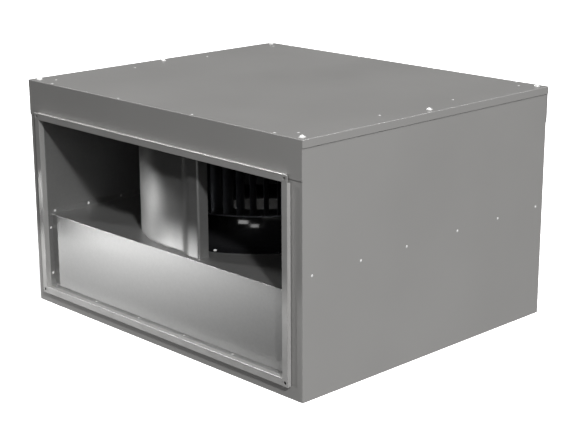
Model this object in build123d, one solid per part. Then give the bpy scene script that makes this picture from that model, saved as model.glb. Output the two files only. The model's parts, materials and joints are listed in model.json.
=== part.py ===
from build123d import *
import os
from math import acos, atan2, cos, degrees, radians, sin, sqrt

# Insulated in-line duct fan in a sheet-metal box, with a horizontal centrifugal wheel.
# Origin: middle of the underside. X runs along the outlet face, -Y is the outlet, +Z is up.
# Every size is in millimetres.

# ---- duct connection: a rectangular duct 1000 wide and 500 high ----
duct_width = 1000.0
duct_height = 500.0
flange_face = 20.0  # width of the bolting face
flange_standoff = 14.0  # bolting face ahead of the casing
flange_lip = 11.0  # depth of the stiffening lip at the outer edge
flange_neck = 16.0  # depth of the collar that plugs into the casing
flange_sheet = 1.5
flange_hole = 9.0  # for M8 corner bolts
lip_mitre = 10.0  # the top lip stops this far short of each corner

# ---- casing ----
side_margin = 58.0  # from the duct opening to the outer side face
bottom_margin = 54.0  # from the duct opening down to the underside
case_depth = 956.0
overall_height = 663.0  # to the top of the lid sheet
sheet = 1.5
corner_fold = 8.0  # width of the side panels' folded front and rear edges
fold_radius = 2.0
side_rail = 30.0  # inward rails that carry the lid
face_rail = 20.0
floor_upstand = 25.0

# ---- lining ----
liner_sheet = 1.0
liner_clearance = 0.5  # between the flange collar and the liner
liner_gap_to_lid = 2.0
fold_gap = 1.0  # between two folds that meet at a corner
stiffener_leg = 35.0
stiffener_web = 30.0  # web height above the partition plate

# ---- partition, blanking panels ----
plate_level = 270.0  # top of the partition plate
plate_upstand = 17.0
plate_turn_down = 20.0
panel_setback = 17.0  # blanking panels behind the casing face
panel_clearance = 0.5  # between a panel's folded edge and the flange collar

# ---- scroll ----
scroll_front_gap = 28.0  # from the lower panel's face to the scroll
scroll_gap = 53.0  # from the wheel to the scroll at its narrowest
scroll_wall_gap = 2.0  # from the scroll to the partition plate's upstand
scroll_lid_gap = 1.0
scroll_sheet = 1.5
tongue_shift = 11.0  # the tongue steps this far forward to meet the post
tongue_bend = 60.0
tongue_start = 53.0  # X where the step begins
tongue_end = 126.0
post_left = 103.0
post_width = 37.0
post_depth = 34.0
post_radius = 6.0

# ---- wheel ----
impeller_radius = 280.0
blade_count = 48
blade_depth = 42.0  # radial depth of a blade
blade_sweep = 3.0  # degrees that the outer edge leads the inner edge
blade_turn = 75.0  # degrees that a blade curves through
blade_sheet = 1.0
wheel_sheet = 1.5
rim_height = 4.0
rim_clearance = 0.2
eye_margin = 30.3  # from the blades' inner edges in to the eye of the lower ring
eye_gap = 5.5  # running gap between the eye and the inlet cone

# ---- inlet cone ----
cone_flare = 80.0  # radius of the rounded mouth
cone_height = 93.0
cone_flange = 20.0
cone_sheet = 1.5
cone_gap = 4.0  # running gap from the cone's end up to the wheel's lower ring
cone_cover = 3.0  # the partition plate's edge reaches this far under the cone's mouth
cone_screw_count = 8

# ---- external-rotor motor ----
rotor_radius = 126.0
rotor_wall = 8.0
rotor_length = 170.0
rotor_flange_width = 24.0
rotor_flange = 6.0
wheel_screw_radius = 3.0
wheel_screw_count = 6
rotor_rounding = 5.0
air_gap = 1.0
shaft_radius = 15.0
shaft_clearance = 0.05
bearing_radius = 26.0
bearing_width = 14.0
stator_flange_radius = 85.0
stator_flange = 6.0
stator_gap = 1.5  # between the stator flange and the wheel's back plate
stator_neck = 60.0
stator_neck_height = 16.0
stator_tube = 36.0
stator_tube_bore = 20.0
stack_height = 80.0
stack_bore = 0.1  # a solid's smallest bore, cut away by the tube's own bore
winding_height = 22.0
winding_floor_gap = 5.0
winding_tube_gap = 8.0
winding_bell_gap = 10.0
winding_rounding = 3.0
shaft_end_gap = 2.0
shaft_chamfer = 1.0
motor_plate_size = 340.0
motor_plate_sheet = 4.0
motor_plate_corner = 12.0
motor_bolt_circle = 70.0
motor_bolt_count = 4
motor_bolt_radius = 4.0
damper_bolt_radius = 4.0
damper_height = 12.0
damper_radius = 12.0
damper_inset = 20.0

# ---- lid ----
lid_clearance = 0.5
lid_sheet = 1.5
seal_thickness = 3.0
skirt_front = 101.0
skirt_side = 21.0
seal_inset = 0.5
seal_overhang = 2.0  # how far the gasket reaches past the end rails
lid_insulation_depth = 50.0
tray_gap = 4.0  # between the tray and the rails
tray_turn_in = 35.0

# ---- fasteners ----
rivet_shank = 2.0
rivet_head = 3.6
rivet_dome = 1.0
side_rivet_margin = 32.0  # from the casing's ends
side_rivet_pitch = 172.0
side_rivet_count = 3  # in each half of a side
side_rivet_rise = 22.5  # above the stiffener's web
plate_rivet_margin = 27.5
plate_rivet_pitch = 121.0
plate_rivet_rise = 8.5  # above the partition plate
panel_rivet_inset = 7.0  # ahead of the lower blanking panel
panel_rivet_pitch = 194.0
panel_rivet_spread = 69.0  # above and below the panel's middle
lid_screw_inset_x = 22.0
lid_screw_inset_y = 21.0
seal_rivet_inset = 8.0  # lid rivets along the two deep skirts, from the casing's ends
seal_rivet_corners = (103.0, 406.0)  # and from its sides
tray_rivet_inset = 63.0  # lid rivets along the sides
tray_rivet_corners = (49.0, 335.0)
screw_clearance = 0.4  # between a lid or cover screw and its hole
lid_screw_radius = 3.0
lid_screw_head = 6.5
lid_screw_dome = 4.0
lid_screw_length = 18.0
lid_socket = 2.3
lid_socket_depth = 2.2
cone_screw_head = (5.5, 3.0)  # radius and height of a domed head
damper_bolt_head = (6.5, 3.0)
motor_bolt_head = (7.0, 5.0)
wheel_screw_head = (5.0, 3.0)
cover_screw_head = (3.6, 2.2)
washer_radius = 8.5
washer_thickness = 1.5

# ---- terminal box on the left side ----
box_length = 160.0
box_height = 100.0
box_depth = 60.0
box_wall = 2.5
box_y = 200.0
box_z = 420.0
box_post = 10.0
box_corner = 6.0
cover_sheet = 3.0
cover_rounding = 1.2
cover_screw_radius = 1.8
cover_screw_length = 14.0
cover_screw_inset = 7.0
gland_radius = 10.0
gland_bore = 6.0
gland_collar = 14.0
gland_collar_height = 7.0
gland_cap = 11.0
gland_cap_rounding = 3.0
gland_thread = 8.0  # inside the box
gland_length = 28.0
gland_nut_height = 4.5
conduit_radius = 12.0
conduit_bore = 8.0
conduit_collar = (16.0, 2.0)  # radius and thickness
terminal_count = 5
terminal_pitch = 18.0
terminal_width = 22.0
terminal_depth = 24.0
terminal_rise = 18.0  # above the box's middle
terminal_slot = (2.0, 10.0)  # width and depth
terminal_hole = (3.0, 6.0)  # radius and depth

# ---- modelling ----
past = 1.0  # how far a cut runs past the metal

# ---- places that follow from the sizes ----
half_width = duct_width / 2 + side_margin
half_depth = case_depth / 2
duct_low = bottom_margin
duct_high = bottom_margin + duct_height
skin_in = half_width - sheet
face_in = half_depth - sheet
joggle_in = face_in - sheet
flange_front = half_depth + flange_standoff
collar = duct_width / 2 + flange_sheet
liner_in = collar + liner_clearance
liner_out = liner_in + liner_sheet
floor_top = duct_low - flange_sheet - liner_clearance
lid_under = overall_height - lid_sheet
case_top = lid_under - seal_thickness
rail_low = case_top - sheet
ceiling = lid_under - lid_insulation_depth - lid_sheet
liner_top = ceiling - liner_gap_to_lid
panel_front = half_depth - panel_setback
panel_fold_end = flange_front - flange_neck - panel_clearance
scroll_radius = impeller_radius + scroll_gap
axis_y = scroll_front_gap + scroll_radius - panel_front
scroll_top = ceiling - scroll_lid_gap
blade_outer = impeller_radius - wheel_sheet - rim_clearance - blade_sheet
blade_inner = blade_outer - blade_depth
eye_radius = blade_inner - eye_margin
cone_throat = eye_radius - eye_gap - cone_sheet
cone_mouth = cone_throat + cone_flare
cone_top = plate_level + cone_height
wheel_low = cone_top + cone_gap
blade_low = wheel_low + wheel_sheet
motor_plate_top = ceiling - damper_height
motor_plate_low = motor_plate_top - motor_plate_sheet
stator_low = motor_plate_low - stator_flange
back_plate_top = stator_low - stator_gap
blade_high = back_plate_top - wheel_sheet
rotor_low = blade_high - rotor_length
rotor_floor = rotor_low + rotor_wall
rotor_bore = rotor_radius - rotor_wall
rotor_flange_radius = rotor_radius + rotor_flange_width
lid_half_width = half_width + lid_clearance + lid_sheet
lid_half_depth = half_depth + lid_clearance + lid_sheet
tray_x = half_width - side_rail - tray_gap
tray_y = half_depth - face_rail - tray_gap
stiffener_level = plate_level + stiffener_web


def block(x, y, z):
    """A box given by its low and high ends along each axis."""
    middle = [(low + high) / 2 for low, high in (x, y, z)]
    return Pos(*middle) * Box(x[1] - x[0], y[1] - y[0], z[1] - z[0])


def rod_x(radius, low, high, y, z):
    return Pos((low + high) / 2, y, z) * Rot(0, 90, 0) * Cylinder(radius, high - low)


def rod_y(radius, low, high, x, z):
    return Pos(x, (low + high) / 2, z) * Rot(90, 0, 0) * Cylinder(radius, high - low)


def rod_z(radius, low, high, x=0.0, y=0.0):
    return Pos(x, y, (low + high) / 2) * Cylinder(radius, high - low)


def hole_x(radius, low, high, y, z):
    """A cut along X through the metal between low and high."""
    return rod_x(radius, low - past, high + past, y, z)


def hole_z(radius, low, high, x=0.0, y=0.0):
    return rod_z(radius, low - past, high + past, x, y)


def ring(inner, outer, low, high):
    """A flat ring or tube about the wheel's axis."""
    return rod_z(outer, low, high, 0, axis_y) - rod_z(inner, low, high, 0, axis_y)


def round_pattern(radius, count):
    """Points evenly spaced on a circle about the wheel's axis, half a step off the X axis."""
    angles = [radians(360 * (step + 0.5) / count) for step in range(count)]
    return [(radius * cos(angle), axis_y + radius * sin(angle)) for angle in angles]


def both(values):
    """Each value with both signs."""
    return [sign * value for value in values for sign in (-1, 1)]


def behind_to_front(part):
    """The same part at the other end of the casing."""
    return mirror(part, Plane.XZ)


def right_to_left(part):
    return mirror(part, Plane.YZ)


def domed_fastener(head, dome, shank, length):
    """Rivet or screw with a domed head, standing along Z with the head's underside at zero."""
    sphere = (head**2 + dome**2) / (2 * dome)
    half_angle = acos((sphere - dome) / sphere) / 2
    crown = (sphere * sin(half_angle), dome - sphere * (1 - cos(half_angle)))
    outline = (
        Polyline((0, dome), (0, -length), (shank, -length), (shank, 0), (head, 0))
        + ThreePointArc((head, 0), crown, (0, dome))
    )
    return revolve(Plane.XZ * make_face(outline), Axis.Z)


# ---- fastener places ----
side_rivet_end = half_depth - side_rivet_margin
side_rivet_places = both([side_rivet_end - side_rivet_pitch * step for step in range(side_rivet_count)])
side_rivet_level = stiffener_level + side_rivet_rise
plate_rivet_start = plate_rivet_margin - half_depth
plate_rivet_count = int(-2 * plate_rivet_start / plate_rivet_pitch) + 1
plate_rivet_places = [plate_rivet_start + plate_rivet_pitch * step for step in range(plate_rivet_count)]
plate_rivet_level = plate_level + plate_rivet_rise
panel_rivet_y = -panel_front - panel_rivet_inset
panel_rivet_count = round(duct_width / 2 / panel_rivet_pitch)
panel_rivet_x = both([panel_rivet_pitch * (step + 0.5) for step in range(panel_rivet_count)])
panel_rivet_middle = (floor_top + plate_level) / 2
panel_rivet_z = [panel_rivet_middle - panel_rivet_spread, panel_rivet_middle + panel_rivet_spread]
lid_screw_x = both([half_width - lid_screw_inset_x])
lid_screw_y = (lid_screw_inset_y - half_depth, 0, half_depth - lid_screw_inset_y)
lid_screw_places = [(x, y) for x in lid_screw_x for y in lid_screw_y]
seal_rivet_x = both([half_width - inset for inset in seal_rivet_corners])
seal_rivet_places = [(x, y) for x in seal_rivet_x for y in both([half_depth - seal_rivet_inset])]
tray_rivet_y = both([half_depth - inset for inset in tray_rivet_corners])
tray_rivet_places = [(x, y) for x in both([half_width - tray_rivet_inset]) for y in tray_rivet_y]
lid_rivet_places = seal_rivet_places + tray_rivet_places
corner_bolt_x = duct_width / 2 + flange_face / 2
corner_bolt_low = duct_low - flange_face / 2
corner_bolt_high = duct_high + flange_face / 2
cone_screw_radius = cone_mouth + cone_flange * 0.4
damper_offset = motor_plate_size / 2 - damper_inset
damper_places = [(x, axis_y + y) for x in both([damper_offset]) for y in both([damper_offset])]
motor_bolt_places = round_pattern(motor_bolt_circle, motor_bolt_count)
wheel_screw_places = round_pattern(rotor_radius + rotor_flange_width / 2 - 3, wheel_screw_count)


# ---- outer casing ----
def floor_panel():
    """Bottom sheet with its four edges turned up inside the walls."""
    side_end = joggle_in - fold_gap
    front_end = half_width - corner_fold - sheet - fold_gap
    panel = block((-skin_in, skin_in), (-face_in, face_in), (0, sheet))
    for side in (-1, 1):
        x = sorted((side * skin_in, side * (skin_in - sheet)))
        y = sorted((side * face_in, side * joggle_in))
        panel += block(x, (-side_end, side_end), (0, floor_upstand))
        panel += block((-front_end, front_end), y, (0, floor_upstand))
    return panel


def side_panel():
    """Right outer skin: folded front and rear edges and a rail under the lid."""
    fold_in = half_width - corner_fold
    panel = block((fold_in, half_width), (-half_depth, half_depth), (0, case_top))
    panel -= block((0, skin_in), (-face_in, face_in), (-past, case_top + past))
    outer_edges = panel.edges().filter_by(Axis.Z).group_by(Axis.X)[-1]
    panel = fillet(outer_edges, fold_radius)
    panel += block((half_width - side_rail, skin_in), (-face_in, face_in), (rail_low, case_top))
    for x, y in lid_screw_places:
        panel -= hole_z(lid_screw_radius + screw_clearance, rail_low, case_top, x, y)
    for y in side_rivet_places:
        panel -= hole_x(rivet_shank, skin_in, half_width, y, side_rivet_level)
    return panel


def left_side_panel():
    return right_to_left(side_panel()) - conduit_hole()


def face_panel():
    """Outlet end wall: flat sheet with the duct opening, its side edges set back behind the skins."""
    fold_in = half_width - corner_fold
    rail_end = half_width - side_rail
    panel = block((-fold_in, fold_in), (-half_depth, -face_in), (0, case_top))
    for side in (-1, 1):
        x = sorted((side * (fold_in - sheet), side * skin_in))
        panel += block(x, (-face_in, -joggle_in), (sheet, rail_low))
    panel += block((-rail_end, rail_end), (-face_in, face_rail - half_depth), (rail_low, case_top))
    collar_z = (duct_low - flange_sheet, duct_high + flange_sheet)
    return panel - block((-collar, collar), (-half_depth - past, -joggle_in + past), collar_z)


# ---- duct flange: four bars, each a face, an outer lip and a collar ----
def flange_bar(across, length, lip_length, collar_length):
    """Bar along Z, right of the opening. across is the opening's half size, lengths are (low, high)."""
    front = -flange_front
    outer = across + flange_face
    bar = block((across, outer), (front, front + flange_sheet), length)
    bar += block((outer - flange_sheet, outer), (front, front + flange_lip), lip_length)
    bar += block((across, across + flange_sheet), (front, front + flange_neck), collar_length)
    return bar


def flange_side():
    """Right bar: it runs down to the lower corner, where it carries the bolt hole."""
    outer_low = duct_low - flange_face
    collar_span = (duct_low - flange_sheet, duct_high)
    bar = flange_bar(duct_width / 2, (outer_low, duct_high), (outer_low, duct_high), collar_span)
    hole = rod_y(flange_hole / 2, -flange_front - past, -half_depth, corner_bolt_x, corner_bolt_low)
    return bar - hole


def flange_top():
    """Top bar: it spans the full width over the side bars and carries both upper bolt holes."""
    outer = duct_width / 2 + flange_face
    upright = flange_bar(
        0, (-outer, outer), (lip_mitre - outer, outer - lip_mitre), (-collar, collar)
    )
    bar = Pos(0, 0, duct_high) * Rot(0, -90, 0) * upright
    for x in both([corner_bolt_x]):
        bar -= rod_y(flange_hole / 2, -flange_front - past, -half_depth, x, corner_bolt_high)
    return bar


def flange_bottom():
    """Bottom bar: it fits between the side bars."""
    span = (-duct_width / 2, duct_width / 2)
    upright = flange_bar(0, span, span, span)
    return Pos(0, 0, duct_low) * Rot(0, 90, 0) * upright


# ---- insulation, liners and stiffeners ----
def side_stiffener():
    """Z section in the wall: its inner leg carries the partition plate, its outer leg the skin."""
    y = (-joggle_in, joggle_in)
    web_top = stiffener_level + sheet
    inner = block((liner_out, liner_out + sheet), y, (stiffener_level - stiffener_leg, web_top))
    web = block((liner_out, skin_in), y, (stiffener_level, web_top))
    outer = block((skin_in - sheet, skin_in), y, (stiffener_level, stiffener_level + stiffener_leg))
    section = inner + web + outer
    for place in plate_rivet_places:
        section -= hole_x(rivet_shank, liner_out, liner_out + sheet, place, plate_rivet_level)
    for place in side_rivet_places:
        section -= hole_x(rivet_shank, skin_in - sheet, skin_in, place, side_rivet_level)
    return section


def side_insulation():
    """Two mineral-wool slabs in the wall, one below and one above the stiffener's web."""
    y = (-joggle_in, joggle_in)
    inner_leg = liner_out + sheet
    leg_low = stiffener_level - stiffener_leg
    web_top = stiffener_level + sheet
    skin_side = skin_in - sheet
    lower = block((liner_out, skin_side), y, (sheet, leg_low))
    lower += block((inner_leg, skin_side), y, (leg_low, stiffener_level))
    upper = block((liner_out, skin_side), y, (web_top, liner_top - liner_sheet))
    return Compound([lower.solid(), upper.solid()])


def left_insulation():
    lower, upper = right_to_left(side_insulation()).solids().sort_by(Axis.Z)
    return Compound([lower, (upper - conduit_hole()).solid()])


def side_liner():
    """Inner sheet of the wall, folded outwards over the insulation at the top."""
    y = (-face_in, face_in)
    liner = block((liner_in, liner_out), y, (floor_top, liner_top))
    fold_z = (liner_top - liner_sheet, liner_top)
    liner += block((liner_in, skin_in - sheet), (-joggle_in, joggle_in), fold_z)
    for place in plate_rivet_places:
        liner -= hole_x(rivet_shank, liner_in, liner_out, place, plate_rivet_level)
    for place in panel_rivet_z:
        liner -= hole_x(rivet_shank, liner_in, liner_out, panel_rivet_y, place)
    return liner


def left_liner():
    return right_to_left(side_liner()) - conduit_hole()


def floor_insulation():
    edge = joggle_in
    return block((-liner_out, liner_out), (-edge, edge), (sheet, floor_top - liner_sheet))


def floor_liner():
    liner = block((-liner_out, liner_out), (-face_in, face_in), (floor_top - liner_sheet, floor_top))
    for x in panel_rivet_x:
        liner -= hole_z(rivet_shank, floor_top - liner_sheet, floor_top, x, panel_rivet_y)
    return liner


# ---- partition plate and blanking panels ----
def partition_plate():
    """Shelf under the scroll: hole for the inlet cone, sides and rear turned up, front turned down."""
    low = plate_level - sheet
    front = sheet - panel_front
    plate = block((-liner_in, liner_in), (front, -front), (low, plate_level))
    for side in (-1, 1):
        x = sorted((side * liner_in, side * (liner_in - sheet)))
        plate += block(x, (front, -front), (low, plate_level + plate_upstand))
    fold_x = (fold_gap - liner_in + sheet, liner_in - sheet - fold_gap)
    plate += block(fold_x, (front, front + sheet), (plate_level - plate_turn_down, plate_level))
    plate += block(fold_x, (-front - sheet, -front), (low, plate_level + plate_turn_down))
    plate -= hole_z(cone_mouth - cone_cover, low, plate_level, 0, axis_y)
    for x, y in round_pattern(cone_screw_radius, cone_screw_count):
        plate -= hole_z(rivet_shank, low, plate_level, x, y)
    for y in plate_rivet_places:
        for side in (-1, 1):
            x = sorted((side * liner_in, side * (liner_in - sheet)))
            plate -= hole_x(rivet_shank, x[0], x[1], y, plate_rivet_level)
    return plate


def outlet_blanking_panel():
    """Closes the lower chamber at the outlet end: three edges folded forward against the lining."""
    y = (-panel_front, sheet - panel_front)
    fold_y = (-panel_fold_end, sheet - panel_front)
    panel = block((-liner_in, liner_in), y, (floor_top, plate_level))
    panel = fillet(panel.edges().filter_by(Axis.X).group_by(Axis.Z)[-1].sort_by(Axis.Y)[0], sheet * 0.8)
    panel += block((-liner_in, liner_in), fold_y, (floor_top, floor_top + sheet))
    for side in (-1, 1):
        x = sorted((side * liner_in, side * (liner_in - sheet)))
        panel += block(x, fold_y, (floor_top, plate_level - 2 * sheet))
        for z in panel_rivet_z:
            panel -= hole_x(rivet_shank, x[0], x[1], panel_rivet_y, z)
    for x in panel_rivet_x:
        panel -= hole_z(rivet_shank, floor_top, floor_top + sheet, x, panel_rivet_y)
    return panel


def inlet_blanking_panel():
    """Closes the upper chamber at the inlet end, its sides and top folded back against the lining."""
    y = (panel_front - sheet, panel_front)
    fold_y = (panel_front - sheet, panel_fold_end)
    low = plate_level - sheet
    panel = block((-liner_in, liner_in), y, (low, liner_top))
    panel += block((-liner_in, liner_in), fold_y, (liner_top - sheet, liner_top))
    for side in (-1, 1):
        x = sorted((side * liner_in, side * (liner_in - sheet)))
        panel += block(x, fold_y, (low, liner_top))
    return panel


# ---- scroll, cut-off post and inlet cone ----
def scroll_line(offset):
    """One surface of the scroll sheet in plan, from its tongue to the outlet end on the right."""
    right = liner_in - sheet - scroll_wall_gap - scroll_sheet
    growth = (right - scroll_radius) / 3
    nearest = axis_y - scroll_radius
    tongue_angle = degrees(acos(1 - tongue_shift / (2 * tongue_bend)))
    step = 2 * tongue_bend * sin(radians(tongue_angle))
    tongue_y = nearest - tongue_shift
    rear_y = axis_y - growth
    return [
        Line((tongue_end, tongue_y - offset), (tongue_start + step, tongue_y - offset)),
        CenterArc(
            (tongue_start + step, tongue_y + tongue_bend), tongue_bend + offset, -90, -tongue_angle
        ),
        CenterArc(
            (tongue_start, nearest - tongue_bend), tongue_bend - offset, 90 - tongue_angle, tongue_angle
        ),
        Line((tongue_start, nearest - offset), (0, nearest - offset)),
        CenterArc((0, axis_y), scroll_radius + offset, -90, -90),
        CenterArc((growth, axis_y), scroll_radius + growth + offset, 180, -90),
        CenterArc((growth, rear_y), scroll_radius + 2 * growth + offset, 90, -90),
        Line((right + offset, rear_y), (right + offset, 6 - panel_front)),
    ]


def scroll_wall():
    """Spiral sheet round the wheel, standing on the partition plate."""
    inner = scroll_line(0)
    outer = scroll_line(scroll_sheet)
    ends = [Line(inner[0] @ 0, outer[0] @ 0), Line(inner[-1] @ 1, outer[-1] @ 1)]
    outline = make_face(Curve() + inner + outer + ends)
    return Pos(0, 0, plate_level) * extrude(outline, scroll_top - plate_level)


def cutoff_post():
    """Folded strip at the scroll's tongue, its rounded edge facing the outlet passage."""
    front = axis_y - scroll_radius - tongue_shift - 2 * scroll_sheet
    right = post_left + post_width
    bend_x = right - post_radius
    bend_y = front + post_radius
    back = front + post_depth
    inner = post_radius - scroll_sheet
    outline = Curve() + [
        Line((post_left, front), (bend_x, front)),
        CenterArc((bend_x, bend_y), post_radius, -90, 90),
        Polyline((right, bend_y), (right, back), (right - scroll_sheet, back), (right - scroll_sheet, bend_y)),
        CenterArc((bend_x, bend_y), inner, 0, -90),
        Polyline((bend_x, front + scroll_sheet), (post_left, front + scroll_sheet), (post_left, front)),
    ]
    return Pos(0, 0, plate_level) * extrude(make_face(outline), scroll_top - plate_level)


def inlet_cone():
    """Spun bellmouth: a flange on the partition plate, a rounded mouth and a straight spigot."""
    flare_top = plate_level + cone_flare
    outer = cone_throat + cone_sheet
    corner = cone_mouth + cone_flange
    flange_top = plate_level + cone_sheet
    outline = Curve() + [
        Line((cone_mouth, plate_level), (corner, plate_level)),
        Line((corner, plate_level), (corner, flange_top)),
        Line((corner, flange_top), (cone_mouth, flange_top)),
        CenterArc((cone_mouth, flare_top), cone_flare - cone_sheet, -90, -90),
        Line((outer, flare_top), (outer, cone_top)),
        Line((outer, cone_top), (cone_throat, cone_top)),
        Line((cone_throat, cone_top), (cone_throat, flare_top)),
        CenterArc((cone_mouth, flare_top), cone_flare, 180, 90),
    ]
    cone = Pos(0, axis_y, 0) * revolve(Plane.XZ * make_face(outline), Axis.Z)
    for x, y in round_pattern(cone_screw_radius, cone_screw_count):
        cone -= hole_z(rivet_shank, plate_level, flange_top, x, y)
    return cone


# ---- rivets and screws of the casing ----
def cone_screws():
    screw = domed_fastener(*cone_screw_head, rivet_shank, cone_sheet + sheet)
    level = plate_level + cone_sheet
    places = round_pattern(cone_screw_radius, cone_screw_count)
    return Compound([Pos(x, y, level) * screw for x, y in places])


def side_rivets():
    rivet = Rot(0, 90, 0) * domed_fastener(rivet_head, rivet_dome, rivet_shank, 2 * sheet)
    right = [Pos(half_width, y, side_rivet_level) * rivet for y in side_rivet_places]
    return Compound(right + [right_to_left(one) for one in right])


def partition_rivets():
    length = 2 * sheet + liner_sheet
    rivet = Rot(0, -90, 0) * domed_fastener(rivet_head, rivet_dome, rivet_shank, length)
    right = [Pos(liner_in - sheet, y, plate_rivet_level) * rivet for y in plate_rivet_places]
    return Compound(right + [right_to_left(one) for one in right])


def panel_rivets():
    rivet = domed_fastener(rivet_head, rivet_dome, rivet_shank, sheet + liner_sheet)
    floor = [Pos(x, panel_rivet_y, floor_top + sheet) * rivet for x in panel_rivet_x]
    turned = Rot(0, -90, 0) * rivet
    right = [Pos(liner_in - sheet, panel_rivet_y, z) * turned for z in panel_rivet_z]
    return Compound(floor + right + [right_to_left(one) for one in right])


# ---- lid ----
def lid_skin():
    """Folded lid: deep skirts at the outlet and inlet ends, shallow ones along the sides."""
    front_low = overall_height - skirt_front
    side_low = overall_height - skirt_side
    skin = block(
        (-lid_half_width, lid_half_width), (-lid_half_depth, lid_half_depth), (front_low, overall_height)
    )
    skin = fillet(skin.edges().group_by(Axis.Z)[-1], fold_radius)
    inner_x = lid_half_width - lid_sheet
    inner_y = lid_half_depth - lid_sheet
    skin -= block((-inner_x, inner_x), (-inner_y, inner_y), (front_low - past, lid_under))
    for side in (-1, 1):
        x = sorted((side * inner_x, side * (lid_half_width + past)))
        skin -= block(x, (-inner_y, inner_y), (front_low - past, side_low))
        end_x = sorted((side * half_width, side * (lid_half_width + past)))
        end_y = (-lid_half_depth - past, lid_half_depth + past)
        skin -= block(end_x, end_y, (front_low - past, side_low))
    for x, y in lid_screw_places:
        skin -= hole_z(lid_screw_radius, lid_under, overall_height, x, y)
    for x, y in lid_rivet_places:
        skin -= hole_z(rivet_shank, lid_under, overall_height, x, y)
    return skin


def lid_seal():
    """Foam gasket under the lid's edges, resting on the casing's rails."""
    outer_x = skin_in - seal_inset
    outer_y = face_in - seal_inset
    inner_x = half_width - side_rail
    inner_y = half_depth - face_rail - seal_overhang
    z = (case_top, lid_under)
    seal = block((-outer_x, outer_x), (-outer_y, outer_y), z)
    seal -= block((-inner_x, inner_x), (-inner_y, inner_y), (z[0] - past, z[1] + past))
    for x, y in lid_screw_places:
        seal -= hole_z(lid_screw_radius, z[0], z[1], x, y)
    for x, y in seal_rivet_places:
        seal -= hole_z(rivet_shank, z[0], z[1], x, y)
    return seal


def lid_inner_sheet():
    """Tray that holds the lid's insulation and carries the motor; its sides turn in under the lid."""
    low = ceiling
    turn_in = lid_under - lid_sheet
    tray = block((-tray_x, tray_x), (-tray_y, tray_y), (low, lid_under))
    inner_x = tray_x - lid_sheet
    inner_y = tray_y - lid_sheet
    tray -= block((-inner_x, inner_x), (-inner_y, inner_y), (low + lid_sheet, turn_in))
    open_x = tray_x - tray_turn_in
    tray -= block((-open_x, open_x), (-inner_y, inner_y), (turn_in - past, lid_under + past))
    for x, y in tray_rivet_places:
        tray -= hole_z(rivet_shank, turn_in, lid_under, x, y)
    for x, y in damper_places:
        tray -= hole_z(damper_bolt_radius, low, low + lid_sheet, x, y)
    return tray


def lid_insulation():
    inner_x = tray_x - lid_sheet
    inner_y = tray_y - lid_sheet
    open_x = tray_x - tray_turn_in
    y = (-inner_y, inner_y)
    low = ceiling + lid_sheet
    slab = block((-inner_x, inner_x), y, (low, lid_under - lid_sheet))
    return slab + block((-open_x, open_x), y, (low, lid_under))


def lid_screws():
    """Pan-head screws with a hexagon socket, screwed down into the side rails."""
    screw = domed_fastener(lid_screw_head, lid_screw_dome, lid_screw_radius, lid_screw_length)
    socket = extrude(RegularPolygon(lid_socket, 6), lid_socket_depth + past)
    screw -= Pos(0, 0, lid_screw_dome - lid_socket_depth) * socket
    level = overall_height + washer_thickness
    return Compound([Pos(x, y, level) * screw for x, y in lid_screw_places])


def lid_screw_washers():
    low, high = overall_height, overall_height + washer_thickness
    washer = rod_z(washer_radius, low, high) - rod_z(lid_screw_radius, low, high)
    return Compound([Pos(x, y, 0) * washer for x, y in lid_screw_places])


def lid_rivets():
    for_seal = domed_fastener(rivet_head, rivet_dome, rivet_shank, lid_sheet + seal_thickness - past)
    for_tray = domed_fastener(rivet_head, rivet_dome, rivet_shank, 2 * lid_sheet)
    rivets = [Pos(x, y, overall_height) * for_seal for x, y in seal_rivet_places]
    rivets += [Pos(x, y, overall_height) * for_tray for x, y in tray_rivet_places]
    return Compound(rivets)


# ---- motor mounting and stator, hung from the lid ----
def motor_plate():
    half = motor_plate_size / 2
    plate = block((-half, half), (axis_y - half, axis_y + half), (motor_plate_low, motor_plate_top))
    plate = fillet(plate.edges().filter_by(Axis.Z), motor_plate_corner)
    for x, y in damper_places:
        plate -= hole_z(damper_bolt_radius, motor_plate_low, motor_plate_top, x, y)
    for x, y in motor_bolt_places:
        plate -= hole_z(motor_bolt_radius, motor_plate_low, motor_plate_top, x, y)
    return plate


def motor_dampers():
    """Rubber buffers between the motor plate and the lid's tray."""
    low, high = motor_plate_top, ceiling
    buffer = rod_z(damper_radius, low, high) - rod_z(damper_bolt_radius, low, high)
    return Compound([Pos(x, y, 0) * buffer for x, y in damper_places])


def damper_bolts():
    length = motor_plate_sheet + damper_height + lid_sheet
    bolt = Rot(180, 0, 0) * domed_fastener(*damper_bolt_head, damper_bolt_radius, length)
    return Compound([Pos(x, y, motor_plate_low) * bolt for x, y in damper_places])


def motor_bolts():
    length = motor_plate_sheet + stator_flange
    bolt = domed_fastener(*motor_bolt_head, motor_bolt_radius, length)
    return Compound([Pos(x, y, motor_plate_top) * bolt for x, y in motor_bolt_places])


def bearing_levels():
    """Underside of the lower bearing and of the upper one."""
    stack_low = rotor_floor + winding_floor_gap + winding_height
    return stack_low - bearing_width, motor_plate_low - bearing_width - shaft_end_gap


def motor_stator():
    """Flange, bearing tube and lamination stack in one casting."""
    lower, upper = bearing_levels()
    stack_low = lower + bearing_width
    neck_low = stator_low - stator_neck_height
    stator = ring(stack_bore, stator_flange_radius, stator_low, motor_plate_low)
    stator += ring(stack_bore, stator_neck, neck_low, motor_plate_low)
    stator += ring(stack_bore, stator_tube, lower, motor_plate_low)
    stator += ring(stack_bore, rotor_bore - air_gap, stack_low, stack_low + stack_height)
    stator -= hole_z(stator_tube_bore, lower, motor_plate_low, 0, axis_y)
    stator -= rod_z(bearing_radius, lower - past, lower + bearing_width, 0, axis_y)
    stator -= rod_z(bearing_radius, upper, motor_plate_low + past, 0, axis_y)
    for x, y in motor_bolt_places:
        stator -= hole_z(motor_bolt_radius, neck_low, motor_plate_low, x, y)
    return stator


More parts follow.
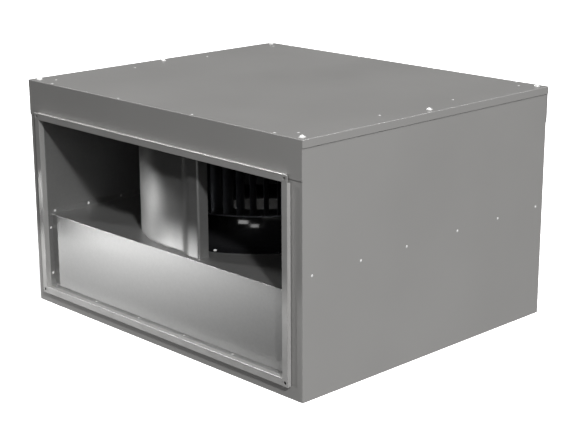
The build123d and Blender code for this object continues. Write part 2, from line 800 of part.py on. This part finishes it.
def stator_winding():
    """Copper end turns below and above the stack."""
    stack_low = bearing_levels()[0] + bearing_width
    stack_high = stack_low + stack_height
    inner = stator_tube + winding_tube_gap
    outer = rotor_bore - winding_bell_gap
    rings = [
        ring(inner, outer, stack_low - winding_height, stack_low),
        ring(inner, outer, stack_high, stack_high + winding_height),
    ]
    rounded = [fillet(one.edges().filter_by(GeomType.CIRCLE), winding_rounding) for one in rings]
    return Compound([one.solid() for one in rounded])


def bearing(level):
    return ring(shaft_radius + shaft_clearance, bearing_radius, level, level + bearing_width)


# ---- turning parts ----
def rotor_bell():
    """Outer rotor of the motor: a cup, closed below, with a flange under the wheel's back plate."""
    bell = ring(rotor_bore, rotor_radius, rotor_low, blade_high)
    bell += rod_z(rotor_radius, rotor_low, rotor_floor, 0, axis_y)
    bell += ring(rotor_bore, rotor_flange_radius, blade_high - rotor_flange, blade_high)
    rim = bell.edges().filter_by(GeomType.CIRCLE).group_by(Axis.Z)[0]
    bell = fillet(rim, rotor_rounding)
    for x, y in wheel_screw_places:
        bell -= hole_z(wheel_screw_radius, blade_high - rotor_flange, blade_high, x, y)
    return bell


def motor_shaft():
    shaft = rod_z(shaft_radius, rotor_floor, motor_plate_low - shaft_end_gap, 0, axis_y)
    return chamfer(shaft.edges().group_by(Axis.Z)[-1], shaft_chamfer)


def impeller_back_plate():
    plate = ring(rotor_bore, impeller_radius, blade_high, back_plate_top)
    for x, y in wheel_screw_places:
        plate -= hole_z(wheel_screw_radius, blade_high, back_plate_top, x, y)
    return plate


def impeller_inlet_ring():
    """Lower ring of the wheel with its turned-up rim."""
    flat = ring(eye_radius, impeller_radius, wheel_low, blade_low)
    return flat + ring(impeller_radius - wheel_sheet, impeller_radius, wheel_low, wheel_low + rim_height)


def blade_outline():
    """Curved blade in plan at angle 0; its hollow side faces the clockwise direction of rotation."""
    inner_edge = Vector(blade_inner, 0)
    lead = radians(-blade_sweep)
    outer_edge = Vector(blade_outer * cos(lead), blade_outer * sin(lead))
    chord = outer_edge - inner_edge
    half_turn = radians(blade_turn / 2)
    radius = chord.length / 2 / sin(half_turn)
    forward = Vector(chord.Y, -chord.X).normalized()
    centre = (inner_edge + outer_edge) / 2 + forward * (radius * cos(half_turn))
    start = inner_edge - centre
    start_angle = degrees(atan2(start.Y, start.X))
    middle = (centre.X, centre.Y)
    hollow = CenterArc(middle, radius, start_angle, -blade_turn)
    back = CenterArc(middle, radius + blade_sheet, start_angle, -blade_turn)
    return make_face(Curve() + [hollow, back, Line(hollow @ 0, back @ 0), Line(hollow @ 1, back @ 1)])


def impeller_blades():
    blade = Pos(0, 0, blade_low) * extrude(blade_outline(), blade_high - blade_low)
    step = 360 / blade_count
    return Compound([Pos(0, axis_y, 0) * Rot(0, 0, step * turn) * blade for turn in range(blade_count)])


def impeller_screws():
    length = wheel_sheet + rotor_flange
    screw = domed_fastener(*wheel_screw_head, wheel_screw_radius, length)
    return Compound([Pos(x, y, back_plate_top) * screw for x, y in wheel_screw_places])


# ---- terminal box on the left side ----
box_back = -half_width
box_front = -half_width - box_depth
box_ends_y = (box_y - box_length / 2, box_y + box_length / 2)
box_ends_z = (box_z - box_height / 2, box_z + box_height / 2)
gland_x = -half_width - box_depth / 2
cover_screw_places = [
    (y, z)
    for y in (box_ends_y[0] + cover_screw_inset, box_ends_y[1] - cover_screw_inset)
    for z in (box_ends_z[0] + cover_screw_inset, box_ends_z[1] - cover_screw_inset)
]


def conduit_hole():
    return hole_x(conduit_radius, -half_width - box_wall, -liner_in, box_y, box_z)


def wall_conduit():
    """Rubber sleeve through the wall for the motor's leads, with a collar on the inside."""
    inner_end = -liner_in
    sleeve = rod_x(conduit_radius, box_back - box_wall, inner_end, box_y, box_z)
    collar_radius, collar_thickness = conduit_collar
    collar_end = inner_end + collar_thickness
    sleeve += rod_x(collar_radius, inner_end, collar_end, box_y, box_z)
    return sleeve - hole_x(conduit_bore, box_back - box_wall, collar_end, box_y, box_z)


def terminal_box():
    box = block((box_front, box_back), box_ends_y, box_ends_z)
    box = fillet(box.edges().filter_by(Axis.X), box_corner)
    inside_y = (box_ends_y[0] + box_wall, box_ends_y[1] - box_wall)
    inside_z = (box_ends_z[0] + box_wall, box_ends_z[1] - box_wall)
    cavity = block((box_front - past, box_back - box_wall), inside_y, inside_z)
    for y in inside_y:
        for z in inside_z:
            post_y = sorted((y, y + (box_post if y < box_y else -box_post)))
            post_z = sorted((z, z + (box_post if z < box_z else -box_post)))
            cavity -= block((box_front - 2 * past, box_back), post_y, post_z)
    box -= cavity
    box -= conduit_hole()
    for y, z in cover_screw_places:
        end = box_front + cover_screw_length
        box -= rod_x(cover_screw_radius + screw_clearance, box_front - past, end, y, z)
    return box - hole_z(gland_radius, box_ends_z[0], box_ends_z[0] + box_wall, gland_x, box_y)


def terminal_box_cover():
    cover = block((box_front - cover_sheet, box_front), box_ends_y, box_ends_z)
    cover = fillet(cover.edges().filter_by(Axis.X), box_corner)
    cover = fillet(cover.edges().group_by(Axis.X)[0], cover_rounding)
    for y, z in cover_screw_places:
        cover -= hole_x(cover_screw_radius, box_front - cover_sheet, box_front, y, z)
    return cover


def terminal_cover_screws():
    length = cover_sheet + cover_screw_length - 2 * past
    screw = Rot(0, -90, 0) * domed_fastener(*cover_screw_head, cover_screw_radius, length)
    return Compound([Pos(box_front - cover_sheet, y, z) * screw for y, z in cover_screw_places])


def terminal_block():
    """Row of screw terminals, each way parted from the next by a slot."""
    back = box_back - box_wall
    front = back - terminal_depth
    low = box_z + terminal_rise
    high = low + terminal_width
    start = box_y - terminal_count * terminal_pitch / 2
    end = box_y + terminal_count * terminal_pitch / 2
    body = block((front, back), (start, end), (low, high))
    slot_width, slot_depth = terminal_slot
    for step in range(1, terminal_count):
        y = start + terminal_pitch * step
        slot_y = (y - slot_width / 2, y + slot_width / 2)
        body -= block((front - past, front + slot_depth), slot_y, (low - past, high + past))
    hole_radius, hole_depth = terminal_hole
    for step in range(terminal_count):
        y = start + terminal_pitch * (step + 0.5)
        body -= rod_x(hole_radius, front - past, front + hole_depth, y, (low + high) / 2)
    return body


def cable_gland():
    """Gland in the box's underside: threaded shank, hexagon collar and domed cap, bored through."""
    low = box_ends_z[0]
    collar_low = low - gland_collar_height
    thread_top = low + box_wall + gland_thread
    gland = rod_z(gland_radius, low, thread_top, gland_x, box_y)
    hexagon = extrude(RegularPolygon(gland_collar, 6), gland_collar_height)
    cap = rod_z(gland_cap, low - gland_length, collar_low, gland_x, box_y)
    cap = fillet(cap.edges().group_by(Axis.Z)[0], gland_cap_rounding)
    gland = gland + Pos(gland_x, box_y, collar_low) * hexagon + cap
    return gland - hole_z(gland_bore, low - gland_length, thread_top, gland_x, box_y)


def gland_nut():
    low = box_ends_z[0] + box_wall
    nut = Pos(gland_x, box_y, low) * extrude(RegularPolygon(gland_collar, 6), gland_nut_height)
    return nut - hole_z(gland_radius, low, low + gland_nut_height, gland_x, box_y)


nodes = {
    "floor_panel": floor_panel,
    "right_side_panel": side_panel,
    "left_side_panel": left_side_panel,
    "outlet_face_panel": face_panel,
    "inlet_face_panel": lambda: behind_to_front(face_panel()),
    "outlet_flange_top": flange_top,
    "outlet_flange_bottom": flange_bottom,
    "outlet_flange_right": flange_side,
    "outlet_flange_left": lambda: right_to_left(flange_side()),
    "inlet_flange_top": lambda: behind_to_front(flange_top()),
    "inlet_flange_bottom": lambda: behind_to_front(flange_bottom()),
    "inlet_flange_right": lambda: behind_to_front(flange_side()),
    "inlet_flange_left": lambda: behind_to_front(right_to_left(flange_side())),
    "right_stiffener": side_stiffener,
    "left_stiffener": lambda: right_to_left(side_stiffener()),
    "right_insulation": side_insulation,
    "left_insulation": left_insulation,
    "floor_insulation": floor_insulation,
    "right_liner": side_liner,
    "left_liner": left_liner,
    "floor_liner": floor_liner,
    "partition_plate": partition_plate,
    "outlet_blanking_panel": outlet_blanking_panel,
    "inlet_blanking_panel": inlet_blanking_panel,
    "scroll_wall": scroll_wall,
    "cutoff_post": cutoff_post,
    "inlet_cone": inlet_cone,
    "cone_screws": cone_screws,
    "side_rivets": side_rivets,
    "partition_rivets": partition_rivets,
    "panel_rivets": panel_rivets,
    "lid_skin": lid_skin,
    "lid_seal": lid_seal,
    "lid_inner_sheet": lid_inner_sheet,
    "lid_insulation": lid_insulation,
    "lid_screws": lid_screws,
    "lid_screw_washers": lid_screw_washers,
    "lid_rivets": lid_rivets,
    "motor_plate": motor_plate,
    "motor_dampers": motor_dampers,
    "damper_bolts": damper_bolts,
    "motor_bolts": motor_bolts,
    "motor_stator": motor_stator,
    "stator_winding": stator_winding,
    "lower_bearing": lambda: bearing(bearing_levels()[0]),
    "upper_bearing": lambda: bearing(bearing_levels()[1]),
    "rotor_bell": rotor_bell,
    "motor_shaft": motor_shaft,
    "impeller_back_plate": impeller_back_plate,
    "impeller_inlet_ring": impeller_inlet_ring,
    "impeller_blades": impeller_blades,
    "impeller_screws": impeller_screws,
    "wall_conduit": wall_conduit,
    "terminal_box": terminal_box,
    "terminal_block": terminal_block,
    "cable_gland": cable_gland,
    "gland_nut": gland_nut,
    "terminal_box_cover": terminal_box_cover,
    "terminal_cover_screws": terminal_cover_screws,
}

os.makedirs("parts", exist_ok=True)
for name, make in nodes.items():
    export_step(make(), f"parts/{name}.step")
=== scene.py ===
import json
import math
import bpy
import bmesh
from mathutils import Matrix, Vector


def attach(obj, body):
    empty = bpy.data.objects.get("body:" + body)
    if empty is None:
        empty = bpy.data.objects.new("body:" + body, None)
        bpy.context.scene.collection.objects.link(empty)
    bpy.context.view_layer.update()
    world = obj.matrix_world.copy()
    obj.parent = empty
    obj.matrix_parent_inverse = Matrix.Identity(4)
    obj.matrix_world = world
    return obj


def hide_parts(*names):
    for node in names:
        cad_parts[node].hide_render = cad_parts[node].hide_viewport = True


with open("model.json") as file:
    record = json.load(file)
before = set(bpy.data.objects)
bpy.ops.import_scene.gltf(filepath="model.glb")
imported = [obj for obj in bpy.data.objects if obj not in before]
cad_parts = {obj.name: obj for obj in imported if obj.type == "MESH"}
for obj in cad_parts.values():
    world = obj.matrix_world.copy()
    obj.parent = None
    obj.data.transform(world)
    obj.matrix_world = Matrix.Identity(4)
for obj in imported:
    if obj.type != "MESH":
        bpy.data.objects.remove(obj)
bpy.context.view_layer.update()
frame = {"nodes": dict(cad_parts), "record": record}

scene = bpy.context.scene
scene.view_settings.view_transform = "Standard"

# Camera: an ordinary long lens a little above the lid, looking at the outlet and the right side.
# Its place is in metres from the middle of the fan's underside.
camera_place = (2.886, -2.775, 1.400)
turned_right, raised, tilted = math.radians(46.05), math.radians(15.83), math.radians(-0.23)
lens = bpy.data.cameras.new("camera")
lens.sensor_width = 36.0
lens.lens = 90.26
camera = bpy.data.objects.new("camera", lens)
scene.collection.objects.link(camera)
turn = Matrix.Rotation(turned_right, 4, "Z") @ Matrix.Rotation(math.pi / 2 - raised, 4, "X")
camera.matrix_world = Matrix.Translation(camera_place) @ turn @ Matrix.Rotation(tilted, 4, "Z")
scene.camera = camera


# Outer casing: a floor tray, two side skins folded round the corners, and an end wall at each opening.
# All are 1.5 mm steel sheet with a smooth satin grey finish, cut, folded on a press brake and riveted.
# Cut edges are a little rounded, outer folds have a narrow flat, and the sheet keeps faint rolling lines.
def finish(name, colour, roughness, metallic=0.0):
    """A new material, with its nodes, its shader and a texture place fixed to the piece."""
    material = bpy.data.materials.new(name)
    material.use_nodes = True
    tree = material.node_tree
    shader = tree.nodes["Principled BSDF"]
    shader.inputs["Base Color"].default_value = (*colour, 1)
    shader.inputs["Roughness"].default_value = roughness
    shader.inputs["Metallic"].default_value = metallic
    place = tree.nodes.new("ShaderNodeTexCoord").outputs["Object"]
    return material, tree, shader, place


def cloud(tree, place, scale, detail=3.0, stretch=(1, 1, 1)):
    """Soft random variation over the surface, about one feature in each 1/scale metres."""
    mapping = tree.nodes.new("ShaderNodeMapping")
    mapping.inputs["Scale"].default_value = stretch
    noise = tree.nodes.new("ShaderNodeTexNoise")
    noise.inputs["Scale"].default_value = scale
    noise.inputs["Detail"].default_value = detail
    tree.links.new(place, mapping.inputs["Vector"])
    tree.links.new(mapping.outputs["Vector"], noise.inputs["Vector"])
    return noise.outputs["Fac"]


def spread(tree, value, low, high, start=0.3, end=0.7):
    """Maps a variation to a range of roughness or height."""
    ranged = tree.nodes.new("ShaderNodeMapRange")
    ranged.inputs["From Min"].default_value = start
    ranged.inputs["From Max"].default_value = end
    ranged.inputs["To Min"].default_value = low
    ranged.inputs["To Max"].default_value = high
    tree.links.new(value, ranged.inputs["Value"])
    return ranged.outputs["Result"]


def tint(tree, value, dark, light, start=0.3, end=0.7):
    """Maps a variation to a colour between two near shades."""
    ramp = tree.nodes.new("ShaderNodeValToRGB")
    ramp.color_ramp.elements[0].position = start
    ramp.color_ramp.elements[0].color = (*dark, 1)
    ramp.color_ramp.elements[1].position = end
    ramp.color_ramp.elements[1].color = (*light, 1)
    tree.links.new(value, ramp.inputs["Fac"])
    return ramp.outputs["Color"]


def relief(tree, shader, height, depth):
    """Fine surface relief, depth in metres."""
    bump = tree.nodes.new("ShaderNodeBump")
    bump.inputs["Strength"].default_value = 1.0
    bump.inputs["Distance"].default_value = depth
    tree.links.new(height, bump.inputs["Height"])
    tree.links.new(bump.outputs["Normal"], shader.inputs["Normal"])


def casing_finish():
    material, tree, shader, place = finish("casing_sheet", (0.294, 0.290, 0.284), roughness=0.33)
    patches = cloud(tree, place, scale=3.0)
    shades = tint(tree, patches, dark=(0.286, 0.282, 0.276), light=(0.302, 0.298, 0.292))
    tree.links.new(shades, shader.inputs["Base Color"])
    rolling = cloud(tree, place, scale=3.0, detail=4.0, stretch=(1, 1, 60))
    tree.links.new(spread(tree, rolling, low=0.30, high=0.36), shader.inputs["Roughness"])
    relief(tree, shader, cloud(tree, place, scale=900.0, detail=2.0), depth=0.00002)
    return material


def body_of(node):
    bodies = frame["record"]["behaviour"]["bodies"]
    return [body for body, nodes in bodies.items() if node in nodes][0]


def rounded(node, material, radius=0.0005, segments=2, fold_radius=0.0):
    """A finished piece for a CAD node: its shape with rounded edges and curves that shade smoothly.

    Outer folds between two broad faces get a flat that starts fold_radius from the edge, and the other
    sharp edges the small radius. Edges shorter than least_length are left as they are.
    """
    sharp, flat = math.radians(40), math.radians(0.5)
    broad, least_length, weld = 0.005, 3 * radius, 0.00001
    bevel = {"profile": 0.5, "affect": "EDGES", "clamp_overlap": True}
    mesh = frame["nodes"][node].data.copy()
    piece = bpy.data.objects.new(node + "_finished", mesh)
    scene.collection.objects.link(piece)
    mesh.materials.clear()
    mesh.materials.append(material)
    shape = bmesh.new()
    shape.from_mesh(mesh)
    bmesh.ops.remove_doubles(shape, verts=shape.verts, dist=weld)
    bmesh.ops.dissolve_limit(shape, angle_limit=flat, verts=shape.verts, edges=shape.edges)
    if fold_radius:
        folds = []
        for edge in shape.edges:
            widths = [face.calc_area() / edge.calc_length() for face in edge.link_faces]
            if edge.calc_face_angle(0) > sharp and edge.is_convex and min(widths) > broad:
                folds.append(edge)
        bmesh.ops.bevel(shape, geom=folds, offset=fold_radius, segments=1, **bevel)
    corners = [edge for edge in shape.edges if edge.calc_face_angle(0) > sharp]
    cuts = [edge for edge in corners if edge.calc_length() > least_length]
    bmesh.ops.bevel(shape, geom=cuts, offset=radius, segments=segments, **bevel)
    for face in shape.faces:
        face.smooth = True
    for edge in shape.edges:
        edge.smooth = edge.calc_face_angle(0) < sharp
    shape.to_mesh(mesh)
    shape.free()
    even = piece.modifiers.new("even shading", "WEIGHTED_NORMAL")
    even.keep_sharp = True
    bpy.context.view_layer.objects.active = piece
    piece.select_set(True)
    bpy.ops.object.modifier_apply(modifier=even.name)
    piece.select_set(False)
    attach(piece, body_of(node))
    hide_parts(node)


casing_sheet = casing_finish()
for node in ("floor_panel", "right_side_panel", "left_side_panel", "outlet_face_panel", "inlet_face_panel"):
    rounded(node, casing_sheet, fold_radius=0.0015)


# Duct flange at each end: four bars of roll-formed galvanised steel, each with a bolting face, an outer
# lip and a collar that plugs into the casing. Each corner of the frame that they make has a bolt hole.
def flange_finish():
    colour = (0.52, 0.516, 0.506)
    material, tree, shader, place = finish("flange_steel", colour, roughness=0.38, metallic=0.45)
    patches = cloud(tree, place, scale=12.0)
    shades = tint(tree, patches, dark=(0.50, 0.496, 0.486), light=(0.54, 0.536, 0.526))
    tree.links.new(shades, shader.inputs["Base Color"])
    wear = cloud(tree, place, scale=60.0)
    tree.links.new(spread(tree, wear, low=0.32, high=0.42), shader.inputs["Roughness"])
    relief(tree, shader, cloud(tree, place, scale=700.0, detail=2.0), depth=0.00002)
    return material


flange_steel = flange_finish()
for end in ("outlet", "inlet"):
    for side in ("top", "bottom", "left", "right"):
        rounded(f"{end}_flange_{side}", flange_steel, radius=0.0004, fold_radius=0.001)


# Insulation: yellow-grey mineral wool slabs in both side walls and the floor, cut to size with a knife
# and laid between the outer skin and the inner sheet. The fibres lie in thin layers.
def wool_finish():
    material, tree, shader, place = finish("mineral_wool", (0.45, 0.38, 0.22), roughness=0.95)
    layers = cloud(tree, place, scale=60.0, detail=6.0, stretch=(1, 1, 5))
    shades = tint(tree, layers, dark=(0.33, 0.27, 0.14), light=(0.55, 0.48, 0.30))
    tree.links.new(shades, shader.inputs["Base Color"])
    relief(tree, shader, cloud(tree, place, scale=250.0, detail=6.0), depth=0.001)
    return material


mineral_wool = wool_finish()
for node in ("right_insulation", "left_insulation", "floor_insulation"):
    rounded(node, mineral_wool, radius=0.001)


# Inner sheets and stiffeners: bare galvanised steel with a fine spangle of zinc crystals. Sheets 1 mm
# thick line the walls and the floor, and a folded 1.5 mm strip in each wall carries the partition plate.
def galvanised_finish():
    colour = (0.4, 0.4, 0.396)
    material, tree, shader, place = finish("galvanised_inside", colour, roughness=0.38, metallic=0.8)
    spangle = tree.nodes.new("ShaderNodeTexVoronoi")
    spangle.inputs["Scale"].default_value = 160.0
    tree.links.new(place, spangle.inputs["Vector"])
    crystal = tree.nodes.new("ShaderNodeSeparateColor")
    tree.links.new(spangle.outputs["Color"], crystal.inputs["Color"])
    dark, light = (0.39, 0.39, 0.386), (0.41, 0.41, 0.406)
    shades = tint(tree, crystal.outputs["Red"], dark, light, start=0, end=1)
    tree.links.new(shades, shader.inputs["Base Color"])
    gloss = spread(tree, crystal.outputs["Green"], low=0.37, high=0.39, start=0, end=1)
    tree.links.new(gloss, shader.inputs["Roughness"])
    return material


galvanised = galvanised_finish()
for node in ("right_liner", "left_liner", "floor_liner", "right_stiffener", "left_stiffener"):
    rounded(node, galvanised, radius=0.0003)

# Partition plate and blanking panels: 1.5 mm galvanised sheet with folded edges. The plate is the shelf
# between the inlet chamber below and the wheel above, riveted to the walls along its turned-up sides.
# The panels close the lower chamber at the outlet and the upper one at the inlet.
for node in ("partition_plate", "outlet_blanking_panel", "inlet_blanking_panel"):
    rounded(node, galvanised, radius=0.0005)


# Inlet cone: steel sheet spun to a round mouth that leads the air into the wheel, with a smooth black
# lacquer. Its flange lies on the partition plate, held by bright screws.
def cone_finish():
    material, tree, shader, place = finish("dark_cone", (0.012, 0.012, 0.013), roughness=0.16)
    ripple = cloud(tree, place, scale=30.0)
    tree.links.new(spread(tree, ripple, low=0.12, high=0.20), shader.inputs["Roughness"])
    shader.inputs["Coat Weight"].default_value = 0.5
    shader.inputs["Coat Roughness"].default_value = 0.08
    return material


rounded("inlet_cone", cone_finish(), radius=0.0004)

# Scroll and cut-off post: one galvanised sheet rolled to a spiral round the wheel, standing on the plate,
# and a folded strip with a rounded edge that stiffens the tongue where the spiral starts.
rounded("scroll_wall", galvanised, radius=0.0004)
rounded("cutoff_post", galvanised, radius=0.0006)


# Rivets and screws of the casing: zinc-plated steel, bright, with low domed heads. The rivets hold the
# side skins to their stiffeners, the partition plate to the walls, and the panel at the outlet. Their
# colour is partly the plating's own brightness and partly a painted glint: near white, so the small heads
# show as bright dots.
def zinc_and_painted_glint_finish():
    # Painted glint: a near-white base with little metal, beyond the plating's own colour, so the heads read
    # as glints.
    colour = (0.92, 0.92, 0.91)
    material, tree, shader, place = finish("zinc_fasteners", colour, roughness=0.3, metallic=0.2)
    grain = cloud(tree, place, scale=400.0)
    tree.links.new(spread(tree, grain, low=0.2, high=0.32), shader.inputs["Roughness"])
    return material


zinc = zinc_and_painted_glint_finish()
for node in ("cone_screws", "side_rivets", "partition_rivets", "panel_rivets"):
    rounded(node, zinc, radius=0.0002)


# Terminal box on the left side: moulded light grey plastic with a fine matt texture. Four screws hold
# its cover, and a gland with a hexagonal nut in its underside takes the supply cable.
def box_finish():
    material, tree, shader, place = finish("box_grey_plastic", (0.42, 0.43, 0.44), roughness=0.5)
    patches = cloud(tree, place, scale=25.0)
    shades = tint(tree, patches, dark=(0.41, 0.42, 0.43), light=(0.43, 0.44, 0.45))
    tree.links.new(shades, shader.inputs["Base Color"])
    relief(tree, shader, cloud(tree, place, scale=2500.0, detail=2.0), depth=0.00005)
    return material


plastic = box_finish()
for node in ("terminal_box", "terminal_box_cover", "cable_gland", "gland_nut"):
    rounded(node, plastic, radius=0.0006, segments=3)
rounded("terminal_cover_screws", zinc, radius=0.0002)


# Terminal block: a row of ivory plastic terminals moulded in one piece, set against the box's back wall.
# The plastic has a slight mottle and a soft gloss.
def block_finish():
    material, tree, shader, place = finish("terminal_plastic", (0.66, 0.64, 0.55), roughness=0.45)
    mottle = cloud(tree, place, scale=120.0)
    shades = tint(tree, mottle, dark=(0.64, 0.62, 0.53), light=(0.68, 0.66, 0.57))
    tree.links.new(shades, shader.inputs["Base Color"])
    return material


rounded("terminal_block", block_finish(), radius=0.0004)


# Wall sleeve: a black rubber tube through the insulated wall behind the terminal box, for the motor's
# leads. It is pushed in from the inside, up to its collar.
def rubber_finish():
    material, tree, shader, place = finish("rubber_black", (0.02, 0.02, 0.021), roughness=0.7)
    bloom = cloud(tree, place, scale=300.0)
    tree.links.new(spread(tree, bloom, low=0.6, high=0.8), shader.inputs["Roughness"])
    relief(tree, shader, cloud(tree, place, scale=1500.0, detail=2.0), depth=0.00008)
    return material


rubber = rubber_finish()
rounded("wall_conduit", rubber, radius=0.0006)

# Lid: one sheet of the casing's grey steel, folded down to deep skirts over the two ends and shallow
# ones at the sides, with a black foam gasket riveted to its underside.
rounded("lid_skin", casing_sheet, fold_radius=0.0015)
rounded("lid_seal", rubber, radius=0.0005)

# Lid filling: a tray of galvanised sheet under the lid, riveted to it, that holds a slab of mineral wool
# and carries the motor plate.
rounded("lid_inner_sheet", galvanised, radius=0.0004)
rounded("lid_insulation", mineral_wool, radius=0.001)

# Lid screws and rivets, zinc-plated. Six screws with washers go down into the casing's side rails. Small
# rivets hold the gasket along the lid's two ends and the tray along its sides.
for node in ("lid_screws", "lid_screw_washers", "lid_rivets"):
    rounded(node, zinc, radius=0.0003)

# Motor plate: galvanised steel 4 mm thick, hung on four black rubber dampers under the lid's tray.
# Four bolts through the dampers hold it, and four more hold the motor to it.
rounded("motor_plate", galvanised, radius=0.0008)
rounded("motor_dampers", rubber, radius=0.0015, segments=3)
for node in ("damper_bolts", "motor_bolts"):
    rounded(node, zinc, radius=0.0003)


# Motor housing: two black-painted castings. The stator's flange is bolted up to the plate, and the rotor
# is a cup that turns round it. The paint lies thick, with a faint orange-peel surface.
def motor_finish():
    material, tree, shader, place = finish("motor_black", (0.013, 0.013, 0.014), roughness=0.42)
    relief(tree, shader, cloud(tree, place, scale=600.0), depth=0.0001)
    patches = cloud(tree, place, scale=50.0)
    tree.links.new(spread(tree, patches, low=0.38, high=0.5), shader.inputs["Roughness"])
    return material


motor_black = motor_finish()
for node in ("motor_stator", "rotor_bell"):
    rounded(node, motor_black, radius=0.001)


# Stator winding: varnished copper wire, seen as a ring of end turns below the core and one above it.
# The wires stand out as fine ridges.
def copper_finish():
    material, tree, shader, place = finish("copper", (0.55, 0.22, 0.10), roughness=0.3, metallic=0.9)
    wires = tree.nodes.new("ShaderNodeTexWave")
    wires.bands_direction = "Z"
    wires.inputs["Scale"].default_value = 260.0
    wires.inputs["Distortion"].default_value = 2.0
    tree.links.new(place, wires.inputs["Vector"])
    relief(tree, shader, wires.outputs["Fac"], depth=0.0004)
    return material


rounded("stator_winding", copper_finish(), radius=0.0006)


# Shaft and bearings: ground bright steel. The shaft stands up from the floor of the rotor cup and turns
# in two ball bearings set in the stator.
def bright_finish():
    material, tree, shader, place = finish("bright_steel", (0.62, 0.62, 0.61), roughness=0.2, metallic=1.0)
    grinding = cloud(tree, place, scale=90.0, stretch=(1, 1, 20))
    tree.links.new(spread(tree, grinding, low=0.15, high=0.28), shader.inputs["Roughness"])
    return material


bright_steel = bright_finish()
for node in ("motor_shaft", "lower_bearing", "upper_bearing"):
    rounded(node, bright_steel, radius=0.0005)


# Wheel: forty-eight curved blades of thin galvanised sheet, standing between a ring below and a back plate
# above.
# Screws hold the back plate to the rotor cup. Their steel is coloured much darker than the bare galvanised
# inside, as painted shade for the wheel deep in the casing.
def wheel_painted_shade_finish():
    # Painted shade: a dark blue-grey base, about a third of the galvanised inside, so the wheel reads dark.
    material, tree, shader, place = finish("wheel_steel", (0.14, 0.145, 0.16), roughness=0.34, metallic=0.9)
    patches = cloud(tree, place, scale=40.0)
    shades = tint(tree, patches, dark=(0.13, 0.135, 0.15), light=(0.15, 0.155, 0.17))
    tree.links.new(shades, shader.inputs["Base Color"])
    bloom = cloud(tree, place, scale=90.0)
    tree.links.new(spread(tree, bloom, low=0.30, high=0.40), shader.inputs["Roughness"])
    return material


wheel_steel = wheel_painted_shade_finish()
for node in ("impeller_back_plate", "impeller_inlet_ring", "impeller_blades"):
    rounded(node, wheel_steel, radius=0.0002, segments=1)
rounded("impeller_screws", zinc, radius=0.0002)


# Floor: a plain white studio floor whose rim sweeps up all round, far from the fan.
# It glows white behind the fan, but throws no light on it and isn't reflected in it.
def floor_finish():
    material, tree, shader, place = finish("pale_floor", (0.9, 0.9, 0.9), roughness=0.9)
    shader.inputs["Emission Color"].default_value = (1, 1, 1, 1)
    shader.inputs["Emission Strength"].default_value = 0.9
    return material


floor_radius, curve_radius, rim_radius = 30.0, 39.0, 45.0
curve_height, rim_height = 5.0, 25.0
floor_sides = 64
mesh = bpy.data.meshes.new("floor")
shape = bmesh.new()
rings = []
for reach, height in ((floor_radius, 0.0), (curve_radius, curve_height), (rim_radius, rim_height)):
    ring = []
    for step in range(floor_sides):
        angle = 2 * math.pi * step / floor_sides
        ring.append(shape.verts.new((reach * math.cos(angle), reach * math.sin(angle), height)))
    rings.append(ring)
shape.faces.new(rings[0])
for lower, upper in zip(rings, rings[1:]):
    for step in range(floor_sides):
        after = (step + 1) % floor_sides
        shape.faces.new((lower[step], lower[after], upper[after], upper[step]))
shape.to_mesh(mesh)
shape.free()
mesh.materials.append(floor_finish())
floor = bpy.data.objects.new("floor", mesh)
scene.collection.objects.link(floor)
for ray in ("visible_diffuse", "visible_glossy", "visible_shadow"):
    setattr(floor, ray, False)


# Studio light: five lamps far away, given by the direction that each shines from, and near the outlet
# two small soft panels and two spots. The air round the fan is almost dark, so the opening stays deep.
def far_lamp(name, azimuth, elevation, angle, strength):
    data = bpy.data.lights.new(name, "SUN")
    data.energy = strength
    data.angle = math.radians(angle)
    lamp = bpy.data.objects.new(name, data)
    across, up = math.radians(azimuth), math.radians(elevation)
    way = Vector((math.cos(across) * math.cos(up), math.sin(across) * math.cos(up), math.sin(up)))
    lamp.rotation_euler = (-way).to_track_quat("-Z", "Y").to_euler()
    scene.collection.objects.link(lamp)


def near_lamp(name, place, aim, size, power):
    data = bpy.data.lights.new(name, "AREA")
    data.shape = "RECTANGLE"
    data.size, data.size_y = size
    data.energy = power
    lamp = bpy.data.objects.new(name, data)
    lamp.location = place
    lamp.rotation_euler = (Vector(aim) - Vector(place)).to_track_quat("-Z", "Y").to_euler()
    lamp.visible_camera = False
    scene.collection.objects.link(lamp)


def spot_lamp(name, place, aim, cone, soft, power, bulb_radius=0.05):
    data = bpy.data.lights.new(name, "SPOT")
    data.spot_size = math.radians(cone)
    data.spot_blend = soft
    data.shadow_soft_size = bulb_radius
    data.energy = power
    lamp = bpy.data.objects.new(name, data)
    lamp.location = place
    lamp.rotation_euler = (Vector(aim) - Vector(place)).to_track_quat("-Z", "Y").to_euler()
    scene.collection.objects.link(lamp)


far_lamp("key", azimuth=-29, elevation=36, angle=4, strength=2.5)
far_lamp("right_side", azimuth=2, elevation=40, angle=4, strength=1.35)
far_lamp("left_front", azimuth=-156, elevation=44, angle=6, strength=0.9)
far_lamp("rear_right", azimuth=68, elevation=42, angle=5, strength=0.9)
far_lamp("left_side", azimuth=172, elevation=20, angle=20, strength=0.9)
near_lamp("front_fill", place=(0.9, -2.2, 0.75), aim=(0.3, -0.48, 0.5), size=(0.5, 0.5), power=3.0)
near_lamp("skirt_fill", place=(0.9, -1.2, 0.9), aim=(0.3, -0.48, 0.6), size=(0.3, 0.3), power=0.9)
spot_lamp("panel_glow", place=(-1.6, -2.0, 0.02), aim=(-0.1, -0.46, -0.85), cone=60, soft=0.08, power=74.0)
spot_lamp("scroll_glow", place=(-1.06, -0.93, 0.30), aim=(-0.03, -0.3, 0.35), cone=13, soft=0.3, power=20.0)

world = bpy.data.worlds.new("studio")
scene.world = world
world.use_nodes = True
background = world.node_tree.nodes["Background"]
background.inputs["Color"].default_value = (1, 1, 1, 1)
background.inputs["Strength"].default_value = 0.01
